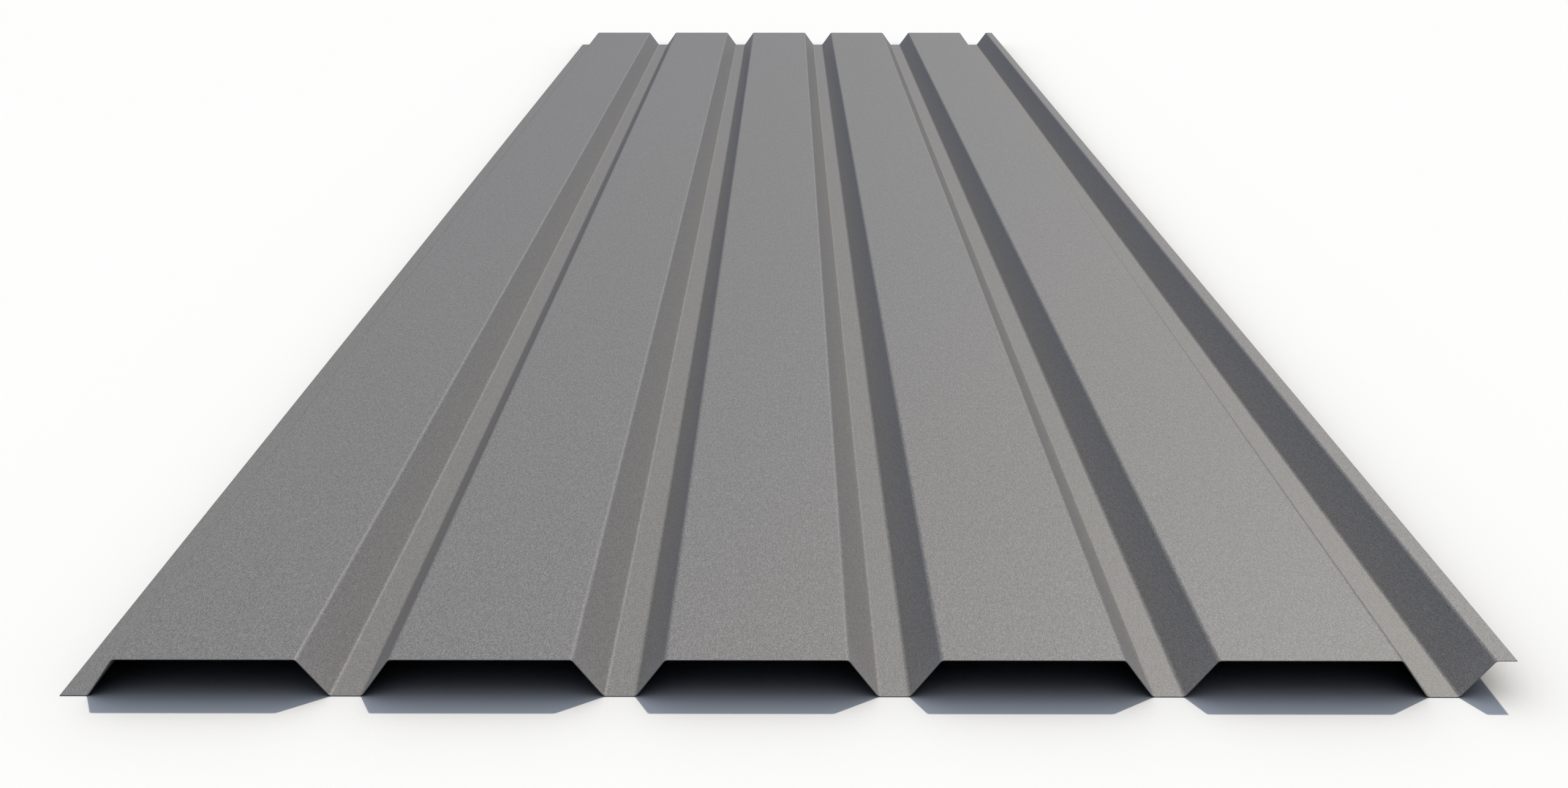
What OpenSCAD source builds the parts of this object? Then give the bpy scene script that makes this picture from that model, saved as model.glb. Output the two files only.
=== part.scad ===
// Trapezoidal profiled metal sheet, lying with its wide crowns up.
// X runs across the ribs, Y along them and +Z up. The sheet is centred on X and Y,
// and the undersides of its valleys are at Z = 0. Sizes are in millimetres.

/* [Sheet] */
// Length along the ribs
sheet_length = 3200; // [500:10:6000]
// Thickness of the metal with its coating
thickness = 0.63; // [0.4:0.01:1.5]

/* [Ribs] */
// Number of raised ribs
ribs = 5; // [1:1:8]
// Distance from one rib to the next, so ribs times pitch is the cover width
pitch = 207; // [190:1:300]
// Height from the underside of a valley to the top of a crown
profile_height = 32; // [15:0.5:50]
// Width of a crown between the corners that its bends round off
crown_width = 137.4; // [60:0.1:145]
// Width of a valley between the corners that its bends round off
valley_width = 24; // [16:0.1:40]
// Radius on the inside of every bend
bend_radius = 3.8; // [1:0.1:5]

/* [Side laps] */
// Width of the flat lip at floor level, on the left side
lower_lip = 21; // [8:0.5:60]
// Width of the flat lip at crown level, on the right side
upper_lip = 15.5; // [8:0.5:60]

/* [Hidden] */
// Straight pieces that stand for one bend's arc
bend_steps = 6;

// The mid-line runs halfway through the metal, from level 0 in a valley to rise on a crown.
rise = profile_height - thickness;
flank_run = (pitch - crown_width - valley_width) / 2;
flank_angle = atan2(rise, flank_run);
mid_radius = bend_radius + thickness / 2;
// Distance from a sharp corner to where its bend begins
setback = mid_radius * tan(flank_angle / 2);

// Corners of the mid-line, with the first flank starting at X = 0
last_flank_foot = ribs * pitch;
left_edge = -lower_lip;
right_edge = last_flank_foot + flank_run + upper_lip;

// Points of one bend's arc, from one angle to another. The metal's two faces share the
// bend's centre, so the thickness stays the same round the bend.
function bend(centre, radius, from, to) = [
    for (step = [0 : bend_steps])
        let (angle = from + (to - from) * step / bend_steps)
            centre + radius * [cos(angle), sin(angle)]
];

// Bends on the face that lies out above the mid-line, or -out below it. A foot curves
// upwards, with its centre over the metal, and a shoulder curves over, with it beneath.
function rising_foot(x, out) =
    bend([x - setback, mid_radius], mid_radius - out, -90, -90 + flank_angle);

function rising_shoulder(x, out) =
    bend([x + setback, rise - mid_radius], mid_radius + out, 90 + flank_angle, 90);

function falling_shoulder(x, out) =
    bend([x - setback, rise - mid_radius], mid_radius + out, 90, 90 - flank_angle);

function falling_foot(x, out) =
    bend([x + setback, mid_radius], mid_radius - out, -90 - flank_angle, -90);

// A whole rib: up one flank, over the crown and down the other flank
function rib(x, out) = concat(
    rising_foot(x, out),
    rising_shoulder(x + flank_run, out),
    falling_shoulder(x + flank_run + crown_width, out),
    falling_foot(x + 2 * flank_run + crown_width, out)
);

// One face of the metal from the left edge to the right one
function face(out) = concat(
    [[left_edge, out]],
    [for (i = [0 : ribs - 1]) each rib(i * pitch, out)],
    rising_foot(last_flank_foot, out),
    rising_shoulder(last_flank_foot + flank_run, out),
    [[right_edge, rise + out]]
);

function backwards(points) = [for (i = [len(points) - 1 : -1 : 0]) points[i]];

// The cross-section, between the upper face and the lower one
module section() {
    polygon(concat(face(thickness / 2), backwards(face(-thickness / 2))));
}

module profiled_sheet() {
    color("#7f7d7c")
        translate([-(left_edge + right_edge) / 2, 0, thickness / 2])
            rotate([90, 0, 0])
                linear_extrude(height = sheet_length, center = true)
                    section();
}

profiled_sheet();
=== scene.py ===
"""Looks of a trapezoidal profiled sheet, coated in a matt grey with a fine grain."""

import math

import bmesh
import bpy
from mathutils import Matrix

# Colours of the weather face, the backing face and the cut edges
WEATHER_GREY = (0.211, 0.206, 0.205, 1)
BACKING_GREY = (0.30, 0.30, 0.305, 1)
CUT_STEEL = (0.12, 0.12, 0.125, 1)

# The normal of a cut edge points up or down by less than this share of its length
CUT_NORMAL = 0.2

# How widely the coating scatters its gloss, and how strong that gloss is
COAT_ROUGHNESS = 0.5
COAT_SPECULAR = 0.4

# Grain of the coating, in two layers, fine specks and larger lumps: the size and the height
# of their spots in metres, and how many times longer they are along the sheet than across it
FINE_SIZE = 0.0007
FINE_STRETCH = 2
FINE_HEIGHT = 0.00007
LUMP_SIZE = 0.002
LUMP_STRETCH = 3.5
LUMP_HEIGHT = 0.00007

# Share of the lumps in the grain's colour, its contrast, and how fast the contrast falls
# with a face's slope
LUMP_SHARE = 0.2
GRAIN_CONTRAST = 1.25
SLOPE_FADE = 0.15

# Mean of a noise and of its square, taken off so that the grain keeps the mean colour
MEAN_NOISE = 0.5
MEAN_SPECK = 0.27

# The camera stands in front of the near end and looks down along the ribs. Its place is in
# metres and its angles are in degrees.
CAMERA_PLACE = (0.00205, -2.6048, 0.6375)
CAMERA_DOWN = 21.328
CAMERA_TURN = 0.132
LENS_MM = 35.54

# Sunlight from behind the far end and from the right, with its angles in degrees
SUN_ELEVATION = 51
SUN_AZIMUTH = 26
SUN_SPREAD = 2
SUN_COLOUR = (1.0, 0.94, 0.825)
SUN_STRENGTH = 2.83

# A soft sky, which darkens towards the horizon and behind the camera
SKY_OVERHEAD = (0.52, 0.57, 0.635, 1)
SKY_LOW = (0.0, 0.03, 0.155, 1)
SKY_DIM_BEHIND = 0.4

# The floor, with its radius in metres
FLOOR_WHITE = (0.97, 0.97, 0.97, 1)
FLOOR_RADIUS = 800

# The painted soft shade on the floor round the sheet, put into the floor's colour: its colour
# where it is deepest, how far from
#  the sheet it reaches in metres, and how quickly it deepens
FLOOR_SHADE = (0, 0, 0, 1)
CONTACT_REACH = 0.3
CONTACT_DEPTH = 1.1


class Nodes:
    """Adds nodes to one node tree, and joins them by value or by link."""

    def __init__(self, tree):
        self.tree = tree
        tree.nodes.clear()

    def add(self, kind, inputs=None, **settings):
        node = self.tree.nodes.new(kind)
        for name, value in settings.items():
            setattr(node, name, value)
        for name, value in (inputs or {}).items():
            self.feed(node.inputs[name], value)
        return node

    def feed(self, socket, value):
        if isinstance(value, bpy.types.NodeSocket):
            self.tree.links.new(value, socket)
        else:
            socket.default_value = value

    def maths(self, operation, *values):
        node = self.add("ShaderNodeMath", operation=operation)
        for socket, value in zip(node.inputs, values):
            self.feed(socket, value)
        return node.outputs[0]

    def blend(self, factor, first, second):
        node = self.add("ShaderNodeMix", data_type="RGBA")
        self.feed(node.inputs["Factor"], factor)
        self.feed(node.inputs["A"], first)
        self.feed(node.inputs["B"], second)
        return node.outputs["Result"]


def stretched_noise(nodes, place, size, stretch):
    """Smooth noise whose spots are longer along the sheet than across it."""
    scaled = nodes.add("ShaderNodeMapping", {"Vector": place, "Scale": (1, 1 / stretch, 1)})
    noise = nodes.add("ShaderNodeTexNoise", {"Vector": scaled.outputs[0], "Detail": 0.0,
                                             "Scale": 1 / size})
    return noise.outputs["Fac"]


def coat_colour(nodes, upward):
    """Grey on the weather face, lighter on the backing face, and bare steel on the cut edges."""
    is_weather = nodes.maths("GREATER_THAN", upward, CUT_NORMAL)
    is_backing = nodes.maths("LESS_THAN", upward, -CUT_NORMAL)
    is_coated = nodes.maths("ADD", is_weather, is_backing)
    colour = nodes.blend(is_weather, BACKING_GREY, WEATHER_GREY)
    return nodes.blend(is_coated, CUT_STEEL, colour)


def coated_steel():
    """The coating, grained all over, with bare steel showing along the cut edges."""
    material = bpy.data.materials.new("grey_coated_steel")
    material.use_nodes = True
    nodes = Nodes(material.node_tree)
    texture_place = nodes.add("ShaderNodeTexCoord")
    normal = nodes.add("ShaderNodeSeparateXYZ", {"Vector": texture_place.outputs["Normal"]})
    upward = normal.outputs["Z"]
    colour = coat_colour(nodes, upward)

    # Bright specks come from squaring the fine noise
    place = texture_place.outputs["Object"]
    fine = stretched_noise(nodes, place, FINE_SIZE, FINE_STRETCH)
    lumps = stretched_noise(nodes, place, LUMP_SIZE, LUMP_STRETCH)
    specks = nodes.maths("MULTIPLY", fine, fine)
    height = nodes.maths("MULTIPLY", specks, FINE_HEIGHT)
    height = nodes.maths("MULTIPLY_ADD", lumps, LUMP_HEIGHT, height)

    grain = nodes.maths("MULTIPLY_ADD", lumps, LUMP_SHARE, specks)
    centred = nodes.maths("SUBTRACT", grain, MEAN_SPECK + MEAN_NOISE * LUMP_SHARE)
    level = nodes.maths("MULTIPLY", upward, upward)
    contrast = nodes.maths("MULTIPLY", nodes.maths("POWER", level, SLOPE_FADE), GRAIN_CONTRAST)
    shade = nodes.maths("MULTIPLY_ADD", centred, contrast, 1)
    shaded = nodes.add("ShaderNodeVectorMath", {0: colour, 1: shade}, operation="MULTIPLY")

    bump = nodes.add("ShaderNodeBump", {"Height": height, "Strength": 1.0, "Distance": 1.0})
    skin = nodes.add("ShaderNodeBsdfPrincipled", {"Base Color": shaded.outputs[0],
                                                  "Roughness": COAT_ROUGHNESS,
                                                  "Specular IOR Level": COAT_SPECULAR,
                                                  "Normal": bump.outputs["Normal"]})
    nodes.add("ShaderNodeOutputMaterial", {"Surface": skin.outputs["BSDF"]})
    return material


def floor_with_painted_shade():
    """A white with painted shade, which darkens it softly close to the sheet."""
    material = bpy.data.materials.new("floor_with_painted_shade")
    material.use_nodes = True
    nodes = Nodes(material.node_tree)
    # Painted shade: ambient occlusion blends the floor's colour towards black near the sheet
    painted_contact_shade = nodes.add("ShaderNodeAmbientOcclusion", {"Distance": CONTACT_REACH})
    open_share = nodes.maths("POWER", painted_contact_shade.outputs["AO"], CONTACT_DEPTH)
    colour = nodes.blend(open_share, FLOOR_SHADE, FLOOR_WHITE)
    skin = nodes.add("ShaderNodeBsdfDiffuse", {"Color": colour})
    nodes.add("ShaderNodeOutputMaterial", {"Surface": skin.outputs["BSDF"]})
    return material


def floor():
    """One huge triangle, so that no seam between faces crosses the view."""
    shape = bmesh.new()
    bmesh.ops.create_circle(shape, cap_ends=True, segments=3, radius=FLOOR_RADIUS)
    mesh = bpy.data.meshes.new("floor")
    shape.to_mesh(mesh)
    shape.free()
    mesh.materials.append(floor_with_painted_shade())
    piece = bpy.data.objects.new("floor", mesh)
    bpy.context.scene.collection.objects.link(piece)


def sky():
    world = bpy.data.worlds.new("sky")
    world.use_nodes = True
    nodes = Nodes(world.node_tree)
    direction = nodes.add("ShaderNodeTexCoord").outputs["Generated"]
    parts = nodes.add("ShaderNodeSeparateXYZ", {"Vector": direction})
    colour = nodes.blend(parts.outputs["Z"], SKY_LOW, SKY_OVERHEAD)
    behind = nodes.maths("MINIMUM", parts.outputs["Y"], 0)
    strength = nodes.maths("MULTIPLY_ADD", behind, SKY_DIM_BEHIND, 1)
    light = nodes.add("ShaderNodeBackground", {"Color": colour, "Strength": strength})
    nodes.add("ShaderNodeOutputWorld", {"Surface": light.outputs[0]})
    bpy.context.scene.world = world


def sun():
    lamp = bpy.data.lights.new("sun", "SUN")
    lamp.energy = SUN_STRENGTH
    lamp.color = SUN_COLOUR
    lamp.angle = math.radians(SUN_SPREAD)
    piece = bpy.data.objects.new("sun", lamp)
    piece.rotation_euler = (math.radians(90 - SUN_ELEVATION), 0, math.radians(180 - SUN_AZIMUTH))
    bpy.context.scene.collection.objects.link(piece)


def camera():
    lens = bpy.data.cameras.new("camera")
    lens.lens = LENS_MM
    lens.clip_end = 2 * FLOOR_RADIUS
    piece = bpy.data.objects.new("camera", lens)
    piece.location = CAMERA_PLACE
    piece.rotation_euler = (math.radians(90 - CAMERA_DOWN), 0, math.radians(CAMERA_TURN))
    bpy.context.scene.collection.objects.link(piece)
    bpy.context.scene.camera = piece


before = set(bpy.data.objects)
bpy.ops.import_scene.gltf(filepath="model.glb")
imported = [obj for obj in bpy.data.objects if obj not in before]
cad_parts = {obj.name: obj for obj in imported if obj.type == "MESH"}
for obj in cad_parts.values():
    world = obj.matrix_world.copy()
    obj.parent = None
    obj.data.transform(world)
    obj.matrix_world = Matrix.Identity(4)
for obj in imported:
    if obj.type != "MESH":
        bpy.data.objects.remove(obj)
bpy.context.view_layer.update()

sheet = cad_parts["profiled_sheet"]
sheet.data.materials.clear()
sheet.data.materials.append(coated_steel())

floor()
sky()
sun()
camera()
bpy.context.scene.view_settings.view_transform = "Standard"
